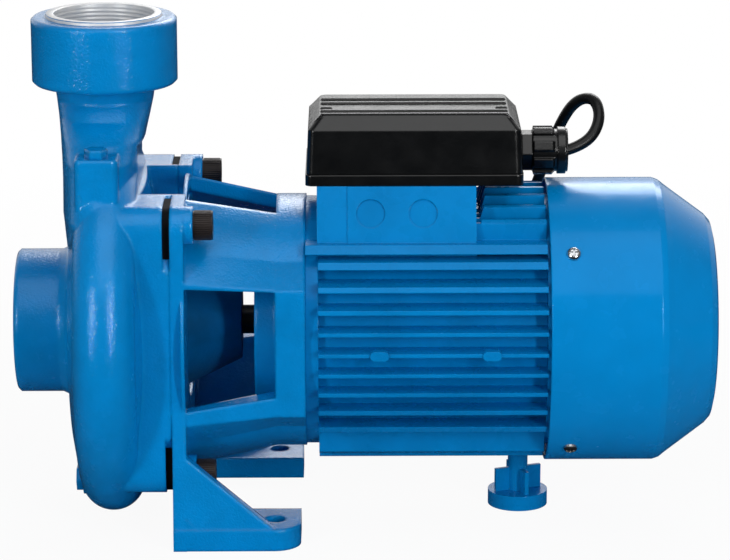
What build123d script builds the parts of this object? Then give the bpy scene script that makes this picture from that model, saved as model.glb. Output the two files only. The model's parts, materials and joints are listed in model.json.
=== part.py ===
from build123d import *
import os
from math import cos, pi, radians, sin, tan

# Close-coupled centrifugal surface pump with threaded 2-inch ports.
# Millimetres, +Z up, the floor at Z = 0.  +X runs from the suction port to the
# fan, so the shaft lies along X.  Stations below count along the shaft from the
# axis of the discharge port.  Every piece is moved by -FOOT_HOLE_STATION when it
# is written, which puts the origin between the two foot bolts, on the floor.

# Shaft and ports
SHAFT_HEIGHT = 111.1
FOOT_HOLE_STATION = 96.0
SHAFT_RADIUS = 8.3
BEARING_CLEARANCE = 0.05
COLLAR_RADIUS = 41.0
THREAD_BORE_RADIUS = 28.3
THREAD_LENGTH = 25.0
SUCTION_FACE = -51.4
DISCHARGE_STATION = 0.6
DISCHARGE_FACE = 287.8
DISCHARGE_COLLAR_BOTTOM = 250.5
LIP_RADIUS = 32.7
LIP_HEIGHT = 2.0
RIM_ROUNDING = 1.5

# Volute casing
SCROLL_STATION = 3.0
SCROLL_RING_RADIUS = 91.0
SCROLL_OUTER = 17.5
SCROLL_INNER = 12.5
SCROLL_SHIFT_Y = -2.0
CASING_FRONT = -19.5
FRONT_WALL = 5.0
FLANGE_RADIUS = 72.0
SEAM_STATION = 38.8
LUG_FRONT = 9.0
RELIEF = (35.3, 39.4)
RELIEF_RADIUS = 91.0
SCROLL_TRIM_STATION = 19.8
DRAIN_FACE = -16.6
DRAIN_HEIGHT = 16.0
DRAIN_SHANK = 5.0
COVER_SEAT_STATION = 27.0
COVER_RADIUS = 65.0
CHAMBER_RADIUS = 68.0
EYE_RADIUS = 24.0
THROAT_BOTTOM = 192.0
THROAT_RADIUS = 15.5

# Discharge neck: height above the shaft, centre station, half length, and how
# far it reaches to the near side and to the far side
NECK_SECTIONS = [
    (35.0, -2.2, 18.2, 60.0, 50.0),
    (72.0, -1.7, 21.3, 78.0, 54.0),
    (90.0, -1.5, 21.6, 67.5, 42.0),
    (102.0, -1.0, 22.5, 62.0, 35.0),
    (112.0, -0.4, 23.9, 50.0, 31.0),
    (122.0, 0.2, 25.6, 33.0, 28.5),
    (131.0, 0.6, 27.3, 27.3, 27.3),
    (140.5, 0.6, 28.6, 28.6, 28.6),
]
NECK_SQUARENESS = 0.82
PLUG_BOSS_STATIONS = (-12.8, 11.3)
PLUG_BOSS_NEAR_Y = -69.5
PLUG_BOSS_TOP = 220.0
PLUG_BOSS_BOTTOM = 186.0
PRIMING_PLUG_Y = -61.5
PRIMING_SHANK = 4.0

# Casing bolts, M10 socket heads at the corners of a rectangle
BOLT_Y = 65.7
BOLT_Z = 71.7
BOLT_RADIUS = 5.0
BOLT_HEAD_RADIUS = 8.0
BOLT_HEAD_LENGTH = 10.9
BOLT_SOCKET_RADIUS = 4.6
BOLT_TIP = 20.0
LUG_TOP = 82.3
LUG_SIDE = 77.5
LUG_INNER_Y = 36.0
LUG_CORNER = 12.5

# Lantern bracket and its feet
BRACKET_FLANGE_REAR = 46.9
BOLT_BOSS_REAR = 52.1
BOLT_BOSS_RADIUS = 10.5
RING_FRONT = 96.9
RING_REAR = 113.5
RING_RADIUS = 72.3
BULKHEAD_FRONT = 84.8
BULKHEAD_RADIUS = 56.0
CONE_FRONT_RADIUS = 84.0
BRACKET_WALL = 8.0
# Half width of the top and bottom windows at the flange and at the ring
END_WINDOW = (30.5, 23.7)
# Upper and lower edge of the side windows from the shaft, at flange and ring
SIDE_WINDOW = ((38.0, -33.0), (35.6, -25.3))
# Side cheeks, as (y, z) corners of their upper half at flange and ring
CHEEK_AT_FLANGE = ((77.5, 41.0), (58.0, 60.0), (40.0, 60.0))
CHEEK_AT_RING = ((75.0, 36.0), (52.0, 49.0), (36.0, 49.0))
FOOT_INNER_Y = 47.0
FOOT_OUTER_Y = 86.0
FOOT_REAR = 110.5
FOOT_FRONT = 39.4
FOOT_PAD = 12.3
FOOT_WEB = 7.6
FOOT_WALL_REAR = 47.0
FOOT_WALL_TOP = 78.0
FOOT_WEB_TOP = 52.3
FOOT_FILLET = 6.0
FOOT_CORNER = 15.0
FOOT_HOLE_Y = 66.0
FOOT_HOLE_RADIUS = 5.5

# Motor
MOTOR_RIM_REAR = 120.7
MOTOR_REAR = 248.3
MOTOR_CORE_RADIUS = 66.0
MOTOR_RIM_RADIUS = 71.0
FIN_TIP_RADIUS = 79.0
FIN_PITCH = 11.8
FIN_TIP_HALF = 1.0
FIN_MIDDLE_HALF = 5.0
SIDE_FINS = 9
TOP_FINS = 8
LEDGE_OFFSET = 55.0
LEDGE_THICKNESS = 4.5
LUG_STATIONS = (154.6, 217.0)
LUG_LENGTH = 10.5
LUG_HEIGHT = 5.5
TERMINAL_PAD = (120.0, 209.0)
PAD_STEP_STATION = 137.0
PAD_STEP = 0.8
# Terminal pad in cross-section, (half width, height above the shaft)
PAD_TOP_EDGE = (38.0, 86.7)
PAD_LOW_EDGE = (50.0, 57.0)
PAD_DISC_STATIONS = (150.0, 179.3)
PAD_DISC_RADIUS = 8.0
PAD_DISC_PLACE = (43.7, 72.6)
REAR_TOP_FINS = (211.5, 215.5)

# Rear end shield, fan and fan cover
SHIELD_FRONT = 248.3
SHIELD_STEP = 251.5
SHIELD_REAR = 262.0
SHIELD_RADIUS = 78.6
SHIELD_NECK_RADIUS = 72.0
COVER_SHELL_FRONT = 249.7
COVER_REAR = 344.8
COVER_OUTER = 81.0
# Tapered end of the fan cover, (station, radius)
COVER_TAPER = [(311.0, 81.0), (314.5, 79.8), (318.0, 77.0), (340.5, 60.5), (343.6, 57.0), (344.8, 52.0)]
COVER_SHEET = 2.0
GRILLE_SLOTS = 20
GRILLE_INNER = 18.0
GRILLE_OUTER = 48.0
GRILLE_SLOT_WIDTH = 3.5
FAN_FRONT = 278.0
FAN_REAR = 306.0
FAN_RADIUS = 66.0
FAN_BLADES = 7
COVER_SCREW_STATION = 262.4
COVER_SCREW_ANGLE = 48.8
COVER_SCREW_RADIUS = 3.9

# Terminal box, gland and supply cable
BOX_FRONT = 113.6
BOX_REAR = 235.6
BOX_HALF = 37.0
BOX_BOTTOM = 197.8
BOX_PARTING = 204.0
BOX_TOP = 236.5
BOX_SHOULDER = 229.0
BOX_CORNER = 4.0
LID_RIBS = (-28.0, -18.5, 3.0, 14.0)
LID_SHORT_RIB = -10.0
LID_SHORT_LENGTH = 12.0
RIB_WIDTH = 2.2
RIB_HEIGHT = 1.1
GLAND_HEIGHT = 210.0
GLAND_NUT = (241.9, 256.0)
GLAND_COLLAR_REAR = 261.8
GLAND_RADIUS = 13.6
GLAND_BASE_RADIUS = 12.0
GLAND_BARS = 8
GLAND_BAR_WIDTH = 5.6
CABLE_DIAMETER = 6.5

# Cable route, (station, y, z) by hand from the loop at the gland to the coil
SUPPLY_ROUTE = [
    (261.8, 0, 210), (273.5, 2, 213), (281.5, 10, 225), (279, 21, 236), (268.5, 30, 233),
    (260, 36.5, 218), (254.5, 44, 199), (250, 62, 182), (246, 84, 161), (243, 97, 128),
    (241, 100, 90), (238.5, 99, 70), (236.5, 101, 50), (234.5, 106, 27), (232, 118, 9.5),
    (229.8, 136, 3.4), (229.2, 152, 3.4),
]
TAIL_ROUTE = [(192, 189.2, 3.4), (177, 190.5, 3.4), (162, 188, 3.4), (148, 183, 3.4)]
COIL_X = 190.0
COIL_Y = 150.0
COIL_RADIUS = 36.0
PLUG_RADIUS = 12.0
PLUG_PIN_SPACING = 19.0

# Rear foot
REAR_FOOT_STATION = 235.5
REAR_FOOT_RADIUS = 17.2
REAR_FOOT_RIM = 8.6
REAR_FOOT_STEM = 5.75

# Impeller and seal
IMPELLER_RADIUS = 58.0
IMPELLER_FRONT = -9.3
IMPELLER_REAR = 10.0
IMPELLER_VANES = 6


def rod(start, end, radius, y=0.0, z=SHAFT_HEIGHT):
    """Solid cylinder along the shaft direction between two stations."""
    return Pos((start + end) / 2, y, z) * Rot(0, 90, 0) * Cylinder(radius, end - start)


def column(bottom, top, radius, x=0.0, y=0.0):
    """Solid upright cylinder between two heights."""
    return Pos(x, y, (bottom + top) / 2) * Cylinder(radius, top - bottom)


def block(x, y, z):
    """Box between pairs of limits along X, Y and Z."""
    centre = [(low + high) / 2 for low, high in (x, y, z)]
    sides = [high - low for low, high in (x, y, z)]
    return Pos(*centre) * Box(*sides)


def turned(points):
    """Solid turned about the shaft axis from a closed (station, radius) outline."""
    outline = Polyline(*[(s, 0, SHAFT_HEIGHT + r) for s, r in points], close=True)
    return revolve(make_face(outline), Axis((0, 0, SHAFT_HEIGHT), (1, 0, 0)), 360)


def slab(sketch, start, end):
    """Cross-section drawn about the shaft axis, drawn out between two stations."""
    plane = Plane(origin=(start, 0, SHAFT_HEIGHT), x_dir=(0, 1, 0), z_dir=(1, 0, 0))
    return extrude(plane * sketch, end - start)


def corners():
    """The four casing-bolt centres, as (y, z) offsets from the shaft axis."""
    return [(sy * BOLT_Y, sz * BOLT_Z) for sy in (-1, 1) for sz in (-1, 1)]


def lug_outline():
    """Casing flange: rounded rectangle with a notch between the lugs at top and bottom."""
    outline = RectangleRounded(2 * LUG_SIDE, 2 * LUG_TOP, LUG_CORNER)
    outline -= Rectangle(2 * LUG_INNER_Y, 3 * LUG_TOP)
    return outline + Circle(FLANGE_RADIUS)


def flange_relief():
    """Narrow gap at the lugs, outside the ring where casing and bracket meet."""
    return slab(Rectangle(200, 200) - Circle(RELIEF_RADIUS), *RELIEF)


def scroll(tube_radius):
    """Ring-shaped water passage, set off the shaft axis towards the near side."""
    centre = Pos(SCROLL_STATION, SCROLL_SHIFT_Y, SHAFT_HEIGHT)
    return centre * Rot(0, 90, 0) * Torus(SCROLL_RING_RADIUS, tube_radius)


def neck_outline(centre, half_length, near, far, power):
    """Closed squarish oval; near and far are its reaches towards -Y and +Y."""
    points = []
    for step in range(16):
        angle = 2 * pi * step / 16
        reach = far if sin(angle) > 0 else near
        x = abs(cos(angle)) ** power * half_length
        y = abs(sin(angle)) ** power * reach
        points.append((centre + (x if cos(angle) > 0 else -x), y if sin(angle) > 0 else -y))
    return make_face(Spline(*points, periodic=True))


def discharge_neck():
    """Neck that flares from the scroll to the discharge collar."""
    sections = []
    for rise, centre, half_length, near, far in NECK_SECTIONS:
        power = 1.0 if near == far else NECK_SQUARENESS
        outline = neck_outline(centre, half_length, near, far, power)
        sections.append(Pos(0, 0, SHAFT_HEIGHT + rise) * outline)
    return loft(sections, ruled=True)


def plug_boss():
    """Upright boss on the near side of the neck that takes the priming plug."""
    boss = block(PLUG_BOSS_STATIONS, (PLUG_BOSS_NEAR_Y, -30), (PLUG_BOSS_BOTTOM, PLUG_BOSS_TOP))
    upright = boss.edges().filter_by(Axis.Z).group_by(Axis.Y)[0]
    boss = fillet(upright, 4)
    rim = boss.faces().sort_by(Axis.Z)[-1].edges().group_by(Axis.Y)[0]
    return fillet(rim, 1.5)


def priming_plug():
    """Hexagon plug on top of the boss at the neck."""
    middle = sum(PLUG_BOSS_STATIONS) / 2
    head = Pos(middle, PRIMING_PLUG_Y, PLUG_BOSS_TOP) * extrude(RegularPolygon(6.4, 6), 5)
    shank = column(PLUG_BOSS_TOP - 12, PLUG_BOSS_TOP, PRIMING_SHANK, middle, PRIMING_PLUG_Y)
    return head + shank


def discharge_collar():
    """Round collar on top with rounded rims and a proud machined lip."""
    low = DISCHARGE_COLLAR_BOTTOM
    high = DISCHARGE_FACE
    inset = COLLAR_RADIUS - RIM_ROUNDING
    outline = Polyline((0, 0, low), (inset, 0, low), (COLLAR_RADIUS, 0, low + RIM_ROUNDING),
                       (COLLAR_RADIUS, 0, high - RIM_ROUNDING), (inset, 0, high), (LIP_RADIUS, 0, high),
                       (LIP_RADIUS, 0, high + LIP_HEIGHT), (0, 0, high + LIP_HEIGHT), close=True)
    return Pos(DISCHARGE_STATION, 0, 0) * revolve(make_face(outline), Axis.Z, 360)


def volute_casing():
    """Cast casing with the scroll, both threaded ports and four bolt lugs."""
    body = turned([(SUCTION_FACE, 0), (SUCTION_FACE, COLLAR_RADIUS - RIM_ROUNDING),
                   (SUCTION_FACE + RIM_ROUNDING, COLLAR_RADIUS), (-26, COLLAR_RADIUS), (-22, 42.8),
                   (CASING_FRONT, 48), (-18, 75), (-14.2, 94.4), (SCROLL_STATION, 100), (20.2, 93),
                   (25, FLANGE_RADIUS), (SEAM_STATION, FLANGE_RADIUS), (SEAM_STATION, 0)])
    body += discharge_neck()
    body += scroll(SCROLL_OUTER)
    body += slab(lug_outline(), LUG_FRONT, SEAM_STATION)
    body -= flange_relief()
    body -= block((SCROLL_TRIM_STATION, RELIEF[0]), (-60, 60), (SHAFT_HEIGHT + LUG_TOP, 220))
    body += plug_boss()
    body += discharge_collar()
    body += rod(DRAIN_FACE, DRAIN_FACE + 14, 9.5, 0, DRAIN_HEIGHT)
    body -= volute_passages()
    body -= rod(DRAIN_FACE - 1, SCROLL_STATION, DRAIN_SHANK, 0, DRAIN_HEIGHT)
    body -= column(PLUG_BOSS_TOP - 12, PLUG_BOSS_TOP + 1, PRIMING_SHANK, sum(PLUG_BOSS_STATIONS) / 2,
                   PRIMING_PLUG_Y)
    for y, z in corners():
        body -= rod(BOLT_TIP, SEAM_STATION + 1, BOLT_RADIUS, y, SHAFT_HEIGHT + z)
    return body


def volute_passages():
    """Water space inside the casing, from the suction thread to the discharge thread."""
    thread_end = SUCTION_FACE + THREAD_LENGTH
    chamber_front = CASING_FRONT + FRONT_WALL
    space = turned([(SUCTION_FACE - 1, 0), (SUCTION_FACE - 1, THREAD_BORE_RADIUS),
                    (thread_end, THREAD_BORE_RADIUS), (chamber_front - 2, EYE_RADIUS),
                    (chamber_front, EYE_RADIUS), (chamber_front, CHAMBER_RADIUS),
                    (-7, CHAMBER_RADIUS), (-7, SCROLL_RING_RADIUS - 3), (13, SCROLL_RING_RADIUS - 3),
                    (13, CHAMBER_RADIUS),
                    (COVER_SEAT_STATION - 6, CHAMBER_RADIUS), (COVER_SEAT_STATION - 6, 62),
                    (COVER_SEAT_STATION, 62), (COVER_SEAT_STATION, COVER_RADIUS),
                    (SEAM_STATION + 1, COVER_RADIUS), (SEAM_STATION + 1, 0)])
    space += scroll(SCROLL_INNER)
    thread_bottom = DISCHARGE_FACE + LIP_HEIGHT - THREAD_LENGTH
    top = DISCHARGE_FACE + LIP_HEIGHT + 1
    throat = Polyline((0, 0, THROAT_BOTTOM), (THROAT_RADIUS, 0, THROAT_BOTTOM), (THROAT_RADIUS, 0, 222),
                      (22, 0, 250), (22, 0, thread_bottom), (THREAD_BORE_RADIUS, 0, thread_bottom),
                      (THREAD_BORE_RADIUS, 0, top), (0, 0, top), close=True)
    return space + Pos(DISCHARGE_STATION, 0, 0) * revolve(make_face(throat), Axis.Z, 360)


def seal_housing():
    """Back cover of the casing, with the tapered neck that holds the shaft seal."""
    body = turned([(15.5, 0), (15.5, 54), (COVER_SEAT_STATION, 56), (COVER_SEAT_STATION, COVER_RADIUS),
                   (SEAM_STATION, COVER_RADIUS), (SEAM_STATION, 40), (52, 34),
                   (76.5, 22), (76.5, 0)])
    body -= rod(14, 66, 18)
    body -= rod(60, 80, SHAFT_RADIUS + 1)
    return body


def shaft_seal():
    """Turning half of the mechanical seal: bellows, spring seat and carbon ring."""
    body = turned([(18, SHAFT_RADIUS), (18, 12.5), (30, 12.5), (31.5, 11), (46, 11),
                   (46, 12.5), (52, 12.5), (52, SHAFT_RADIUS)])
    return body


def impeller_vane():
    """One backward-curved vane, as a strip between two arcs, drawn out along X."""
    inner = 20.0
    outer = IMPELLER_RADIUS - 1
    sweep = radians(70)
    steps = 5
    centre = [(inner + (outer - inner) * i / steps, sweep * (i / steps) ** 0.8)
              for i in range(steps + 1)]
    half = 1.6
    left = [(r * cos(a + half / r), r * sin(a + half / r)) for r, a in centre]
    right = [(r * cos(a - half / r), r * sin(a - half / r)) for r, a in centre]
    edges = Spline(*left) + Line(left[-1], right[-1]) + Spline(*right[::-1]) + Line(right[0], left[0])
    return make_face(edges)


def impeller():
    """Closed impeller: two shrouds, curved vanes, hub and eye ring."""
    front = turned([(IMPELLER_FRONT, 22), (IMPELLER_FRONT, 18.5), (-4.5, 19), (-2.5, IMPELLER_RADIUS),
                    (-5, IMPELLER_RADIUS), (-6.5, 30)])
    back = turned([(6.5, SHAFT_RADIUS), (6.5, IMPELLER_RADIUS), (IMPELLER_REAR, IMPELLER_RADIUS),
                   (IMPELLER_REAR, SHAFT_RADIUS)])
    hub = turned([(-4, SHAFT_RADIUS), (-4, 12), (6.5, 16), (IMPELLER_REAR, 13), (18, 12.5),
                  (18, SHAFT_RADIUS)])
    body = back + hub + front
    for index in range(IMPELLER_VANES):
        body += slab(Rot(0, 0, 360 / IMPELLER_VANES * index) * impeller_vane(), -4.6, 7)
    return body


def impeller_nut():
    """Domed hexagon nut that holds the impeller on the shaft."""
    return slab(RegularPolygon(8.5, 6), -12, -4) - rod(-9, -3, 5)


def pump_shaft():
    """Shaft through the seal, the bracket and the motor to the fan."""
    body = turned([(-9, 0), (-9, 5), (-4, 5), (-4, SHAFT_RADIUS), (FAN_REAR - 6, SHAFT_RADIUS),
                   (FAN_REAR - 6, 0)])
    return body


def casing_bolt(y, z):
    """M10 socket-head bolt through the bracket flange into a casing lug."""
    height = SHAFT_HEIGHT + z
    head_end = BOLT_BOSS_REAR + BOLT_HEAD_LENGTH
    body = rod(BOLT_BOSS_REAR, head_end, BOLT_HEAD_RADIUS, y, height)
    body += rod(BOLT_TIP, BOLT_BOSS_REAR, BOLT_RADIUS, y, height)
    socket = Pos(y, z) * RegularPolygon(BOLT_SOCKET_RADIUS, 6)
    return body - slab(socket, head_end - 5, head_end + 1)


def cheek_face(half, station):
    """Cross-section of one side cheek at a station, from the corners of its upper half."""
    lower = [(y, -z) for y, z in reversed(half)]
    plane = Plane(origin=(station, 0, SHAFT_HEIGHT), x_dir=(0, 1, 0), z_dir=(1, 0, 0))
    return plane * make_face(Polyline(*half, *lower, close=True))


def bracket_cheek():
    """Side cheek on +Y, flaring from the motor ring to the flange."""
    start = BRACKET_FLANGE_REAR - 2
    flare = loft([cheek_face(CHEEK_AT_FLANGE, start), cheek_face(CHEEK_AT_RING, RING_FRONT)], ruled=True)
    return flare + extrude(cheek_face(CHEEK_AT_RING, RING_FRONT), RING_REAR - RING_FRONT, dir=(1, 0, 0))


def bracket_shell():
    """Cone between flange and motor ring with side cheeks, open on four sides."""
    start = BRACKET_FLANGE_REAR - 2
    end = RING_FRONT
    wall = BRACKET_WALL
    shell = turned([(start, 0), (start, CONE_FRONT_RADIUS), (end, RING_RADIUS), (end, 0)])
    cheek = bracket_cheek()
    shell += cheek + mirror(cheek, about=Plane.XZ)
    shell -= turned([(start - 1, 0), (start - 1, CONE_FRONT_RADIUS - wall), (end, RING_RADIUS - wall),
                     (end, 0)])
    front = BRACKET_FLANGE_REAR
    (high_front, low_front), (high_rear, low_rear) = SIDE_WINDOW
    side = Polyline((front, 0, SHAFT_HEIGHT + high_front), (end, 0, SHAFT_HEIGHT + high_rear),
                    (end, 0, SHAFT_HEIGHT + low_rear), (front, 0, SHAFT_HEIGHT + low_front), close=True)
    shell -= extrude(make_face(side), 100, dir=(0, 1, 0), both=True)
    wide, narrow = END_WINDOW
    upright = Polyline((front, wide, 0), (end, narrow, 0), (end, -narrow, 0), (front, -wide, 0), close=True)
    return shell - extrude(make_face(upright), 230, dir=(0, 0, 1))


def bracket_foot(side):
    """One cast foot: pad, drafted upright wall, fillet and outer web."""
    y = sorted((side * FOOT_INNER_Y, side * (FOOT_OUTER_Y - 0.4)))
    pad = block((FOOT_FRONT, FOOT_REAR), y, (0, FOOT_PAD))
    corner = pad.edges().filter_by(Axis.Z).group_by(Axis.X)[-1].sort_by(Axis.Y)
    pad = fillet(corner[-1] if side > 0 else corner[0], FOOT_CORNER)
    wall = foot_profile(side, FOOT_OUTER_Y - FOOT_INNER_Y, FOOT_WALL_REAR)
    web_side = foot_profile(side, FOOT_WEB, FOOT_REAR)
    low = FOOT_PAD - 1
    gusset = Polyline((FOOT_FRONT, 0, low), (FOOT_REAR - 14, 0, low), (FOOT_WALL_REAR, 0, FOOT_WEB_TOP),
                      (FOOT_FRONT, 0, FOOT_WEB_TOP), close=True)
    web = web_side & extrude(make_face(gusset), 100, dir=(0, 1, 0), both=True)
    rise = FOOT_PAD + FOOT_FILLET
    bead = Polyline((FOOT_WALL_REAR, y[0] + 1, low), (FOOT_WALL_REAR + FOOT_FILLET, y[0] + 1, low),
                    (FOOT_WALL_REAR + FOOT_FILLET, y[0] + 1, FOOT_PAD), (FOOT_WALL_REAR, y[0] + 1, rise),
                    close=True)
    return pad + wall + web + extrude(make_face(bead), y[1] - y[0] - 3, dir=(0, 1, 0))


def foot_profile(side, thickness, end):
    """Upright plate with a drafted outer face, from the foot's front to a station."""
    top_y = LUG_SIDE
    points = [(FOOT_OUTER_Y, 0), (top_y, FOOT_WALL_TOP), (top_y - thickness, FOOT_WALL_TOP),
              (FOOT_OUTER_Y - thickness, 0)]
    if thickness > FOOT_WEB:
        points = [(FOOT_OUTER_Y, 0), (top_y, FOOT_WALL_TOP), (FOOT_INNER_Y, FOOT_WALL_TOP),
                  (FOOT_INNER_Y, 0)]
    outline = Polyline(*[(FOOT_FRONT, side * y, z) for y, z in points], close=True)
    return extrude(make_face(outline), end - FOOT_FRONT, dir=(1, 0, 0))


def lantern_bracket():
    """Cast bracket between casing and motor, with windows and two feet."""
    body = slab(lug_outline(), SEAM_STATION, BRACKET_FLANGE_REAR) - flange_relief()
    for y, z in corners():
        body += rod(BRACKET_FLANGE_REAR - 1, BOLT_BOSS_REAR, BOLT_BOSS_RADIUS, y, SHAFT_HEIGHT + z)
    body += bracket_shell()
    body += slab(Circle(RING_RADIUS), RING_FRONT, RING_REAR)
    body += slab(Circle(BULKHEAD_RADIUS), BULKHEAD_FRONT, RING_FRONT + 1)
    for side in (-1, 1):
        body += bracket_foot(side)
    body -= rod(SEAM_STATION - 1, BRACKET_FLANGE_REAR + 1, 44)
    body -= rod(BULKHEAD_FRONT - 1, RING_REAR + 1, SHAFT_RADIUS + 1)
    for y, z in corners():
        body -= rod(RELIEF[0], BOLT_BOSS_REAR + 1, BOLT_RADIUS, y, SHAFT_HEIGHT + z)
    for side in (-1, 1):
        body -= column(-1, FOOT_PAD + 1, FOOT_HOLE_RADIUS, FOOT_HOLE_STATION, side * FOOT_HOLE_Y)
    return body


def fin(offset, upright):
    """One fin through the whole housing, thinner at its two tips."""
    reach = FIN_TIP_RADIUS + 1
    tip = FIN_TIP_HALF
    middle = FIN_MIDDLE_HALF
    points = [(reach, offset + tip), (0, offset + middle), (-reach, offset + tip),
              (-reach, offset - tip), (0, offset - middle), (reach, offset - tip)]
    if upright:
        points = [(height, across) for across, height in points]
    return make_face(Polyline(*points, close=True))


def fin_section():
    """Cross-section of all fins and the two ledges, within the fin-tip circle."""
    side_middle = (SIDE_FINS - 1) / 2
    top_middle = (TOP_FINS - 1) / 2
    fins = Pos(0, LEDGE_OFFSET) * Rectangle(200, LEDGE_THICKNESS)
    for index in range(SIDE_FINS):
        fins += fin(FIN_PITCH * (index - side_middle), False)
    for index in range(TOP_FINS):
        fins += fin(FIN_PITCH * (index - top_middle), True)
    return fins & Circle(FIN_TIP_RADIUS)


def terminal_pad():
    """Cast seat of the terminal box with sloping sides and two bare discs on each."""
    def bar(start, end, shrink):
        top_half, top = PAD_TOP_EDGE
        low_half, low = PAD_LOW_EDGE
        outline = Polygon((top_half - shrink, top), (-top_half + shrink, top), (-low_half + shrink, low),
                          (-low_half + shrink, 45), (low_half - shrink, 45), (low_half - shrink, low),
                          align=None)
        return slab(outline, start, end)

    pad = bar(TERMINAL_PAD[0], PAD_STEP_STATION, PAD_STEP) + bar(PAD_STEP_STATION, TERMINAL_PAD[1], 0)
    across, up = PAD_DISC_PLACE
    for station in PAD_DISC_STATIONS:
        for side in (-1, 1):
            disc = Pos(station, side * across, SHAFT_HEIGHT + up) * Rot(side * -68, 0, 0)
            pad -= disc * Cylinder(PAD_DISC_RADIUS, 2)
    return pad


def motor_housing():
    """Ribbed motor housing with its front rim, terminal pad and fin lugs."""
    body = rod(RING_REAR, MOTOR_RIM_REAR, MOTOR_RIM_RADIUS)
    body += rod(RING_REAR, MOTOR_REAR, MOTOR_CORE_RADIUS)
    body += slab(fin_section(), MOTOR_RIM_REAR, MOTOR_REAR)
    ledge = Pos(0, LEDGE_OFFSET) * Rectangle(200, LEDGE_THICKNESS) & Circle(FIN_TIP_RADIUS)
    body += slab(ledge, RING_REAR, MOTOR_RIM_REAR + 1)
    low = SHAFT_HEIGHT + MOTOR_CORE_RADIUS + 0.5
    high = SHAFT_HEIGHT + FIN_TIP_RADIUS + 1
    foot, tip = REAR_TOP_FINS
    gap = Polyline((MOTOR_RIM_REAR, 0, low), (foot, 0, low), (tip, 0, high), (MOTOR_RIM_REAR, 0, high),
                   close=True)
    body -= extrude(make_face(gap), 47, dir=(0, 1, 0), both=True)
    body += terminal_pad()
    for station in LUG_STATIONS:
        for side in (-1, 1):
            plane = Plane(origin=(station, side * 74, SHAFT_HEIGHT), x_dir=(1, 0, 0), z_dir=(0, side, 0))
            body += extrude(plane * SlotOverall(LUG_LENGTH, LUG_HEIGHT), 6.3)
    body += column(SHAFT_HEIGHT - FIN_TIP_RADIUS, SHAFT_HEIGHT - 50, 11, REAR_FOOT_STATION)
    body -= rod(RING_REAR - 1, MOTOR_REAR + 1, SHAFT_RADIUS + BEARING_CLEARANCE)
    return body


def rear_end_shield():
    """End shield that carries the rear bearing and the fan cover."""
    body = rod(SHIELD_FRONT, SHIELD_STEP, SHIELD_NECK_RADIUS)
    body += rod(SHIELD_STEP, SHIELD_REAR, SHIELD_RADIUS)
    body += rod(SHIELD_REAR, SHIELD_REAR + 6, 24)
    body -= rod(SHIELD_FRONT - 1, SHIELD_REAR + 7, SHAFT_RADIUS + BEARING_CLEARANCE)
    for y, z, direction in cover_screw_places():
        body -= cover_screw_shank(y, z, direction)
    return body


def cover_screw_places():
    """Fan-cover screws: radial direction of each, as y and z factors and an angle."""
    angles = [COVER_SCREW_ANGLE + 90 * index for index in range(4)]
    return [(cos(radians(a)), sin(radians(a)), a) for a in angles]


def cover_screw_shank(y, z, angle):
    """Shank of one fan-cover screw, along its radius."""
    middle = COVER_OUTER - 7
    return (Pos(COVER_SCREW_STATION, middle * y, SHAFT_HEIGHT + middle * z)
            * Rot(angle - 90, 0, 0) * Cylinder(2.0, 14))


def cover_screw(y, z, angle):
    """Pan-head screw that holds the fan cover."""
    middle = COVER_OUTER + 1.1
    head = (Pos(COVER_SCREW_STATION, middle * y, SHAFT_HEIGHT + middle * z)
            * Rot(angle - 90, 0, 0) * Cylinder(COVER_SCREW_RADIUS, 2.2))
    return head + cover_screw_shank(y, z, angle)


def fan_cover():
    """Sheet fan cover with a tapered rear end and a slotted grille."""
    t = COVER_SHEET
    inside = [(station - t, radius - t) for station, radius in reversed(COVER_TAPER)]
    body = turned([(COVER_SHELL_FRONT, COVER_OUTER - t), (COVER_SHELL_FRONT, COVER_OUTER), *COVER_TAPER,
                   (COVER_REAR, 0), (COVER_REAR - t, 0), *inside])
    for y, z, angle in cover_screw_places():
        body -= cover_screw_shank(y, z, angle)
    middle = (GRILLE_INNER + GRILLE_OUTER) / 2
    slots = Sketch()
    for index in range(GRILLE_SLOTS):
        ray = Pos(0, middle) * SlotOverall(GRILLE_OUTER - GRILLE_INNER, GRILLE_SLOT_WIDTH, rotation=90)
        slots += Rot(0, 0, 360 / GRILLE_SLOTS * index) * ray
    return body - slab(slots, COVER_REAR - t - 1, COVER_REAR + 1)


def cooling_fan():
    """Radial fan with straight blades on a disc and hub."""
    body = rod(FAN_FRONT, FAN_FRONT + 3, FAN_RADIUS)
    body += rod(FAN_FRONT, FAN_REAR - 4, 16)
    for index in range(FAN_BLADES):
        blade = Pos(0, 39) * Rectangle(3, 2 * (FAN_RADIUS - 1 - 39))
        body += slab(Rot(0, 0, 360 / FAN_BLADES * index) * blade, FAN_FRONT + 2, FAN_REAR)
    body -= rod(FAN_FRONT - 1, FAN_REAR, SHAFT_RADIUS)
    return body


def terminal_box_base():
    """Base tray of the terminal box."""
    outline = RectangleRounded(BOX_REAR - BOX_FRONT, 2 * BOX_HALF, BOX_CORNER)
    place = Pos((BOX_FRONT + BOX_REAR) / 2, 0, BOX_BOTTOM)
    return place * extrude(outline, BOX_PARTING - BOX_BOTTOM)


def lid_rib(y, start, end):
    """Raised rib across the lid that runs down its sloping border at both ends."""
    slope = BOX_TOP - BOX_SHOULDER
    low = BOX_SHOULDER + 0.5
    high = BOX_TOP + RIB_HEIGHT
    outline = Polyline((start, y, low), (start + slope, y, high), (end - slope, y, high), (end, y, low),
                       close=True)
    return extrude(make_face(outline), RIB_WIDTH / 2, dir=(0, 1, 0), both=True)


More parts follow.
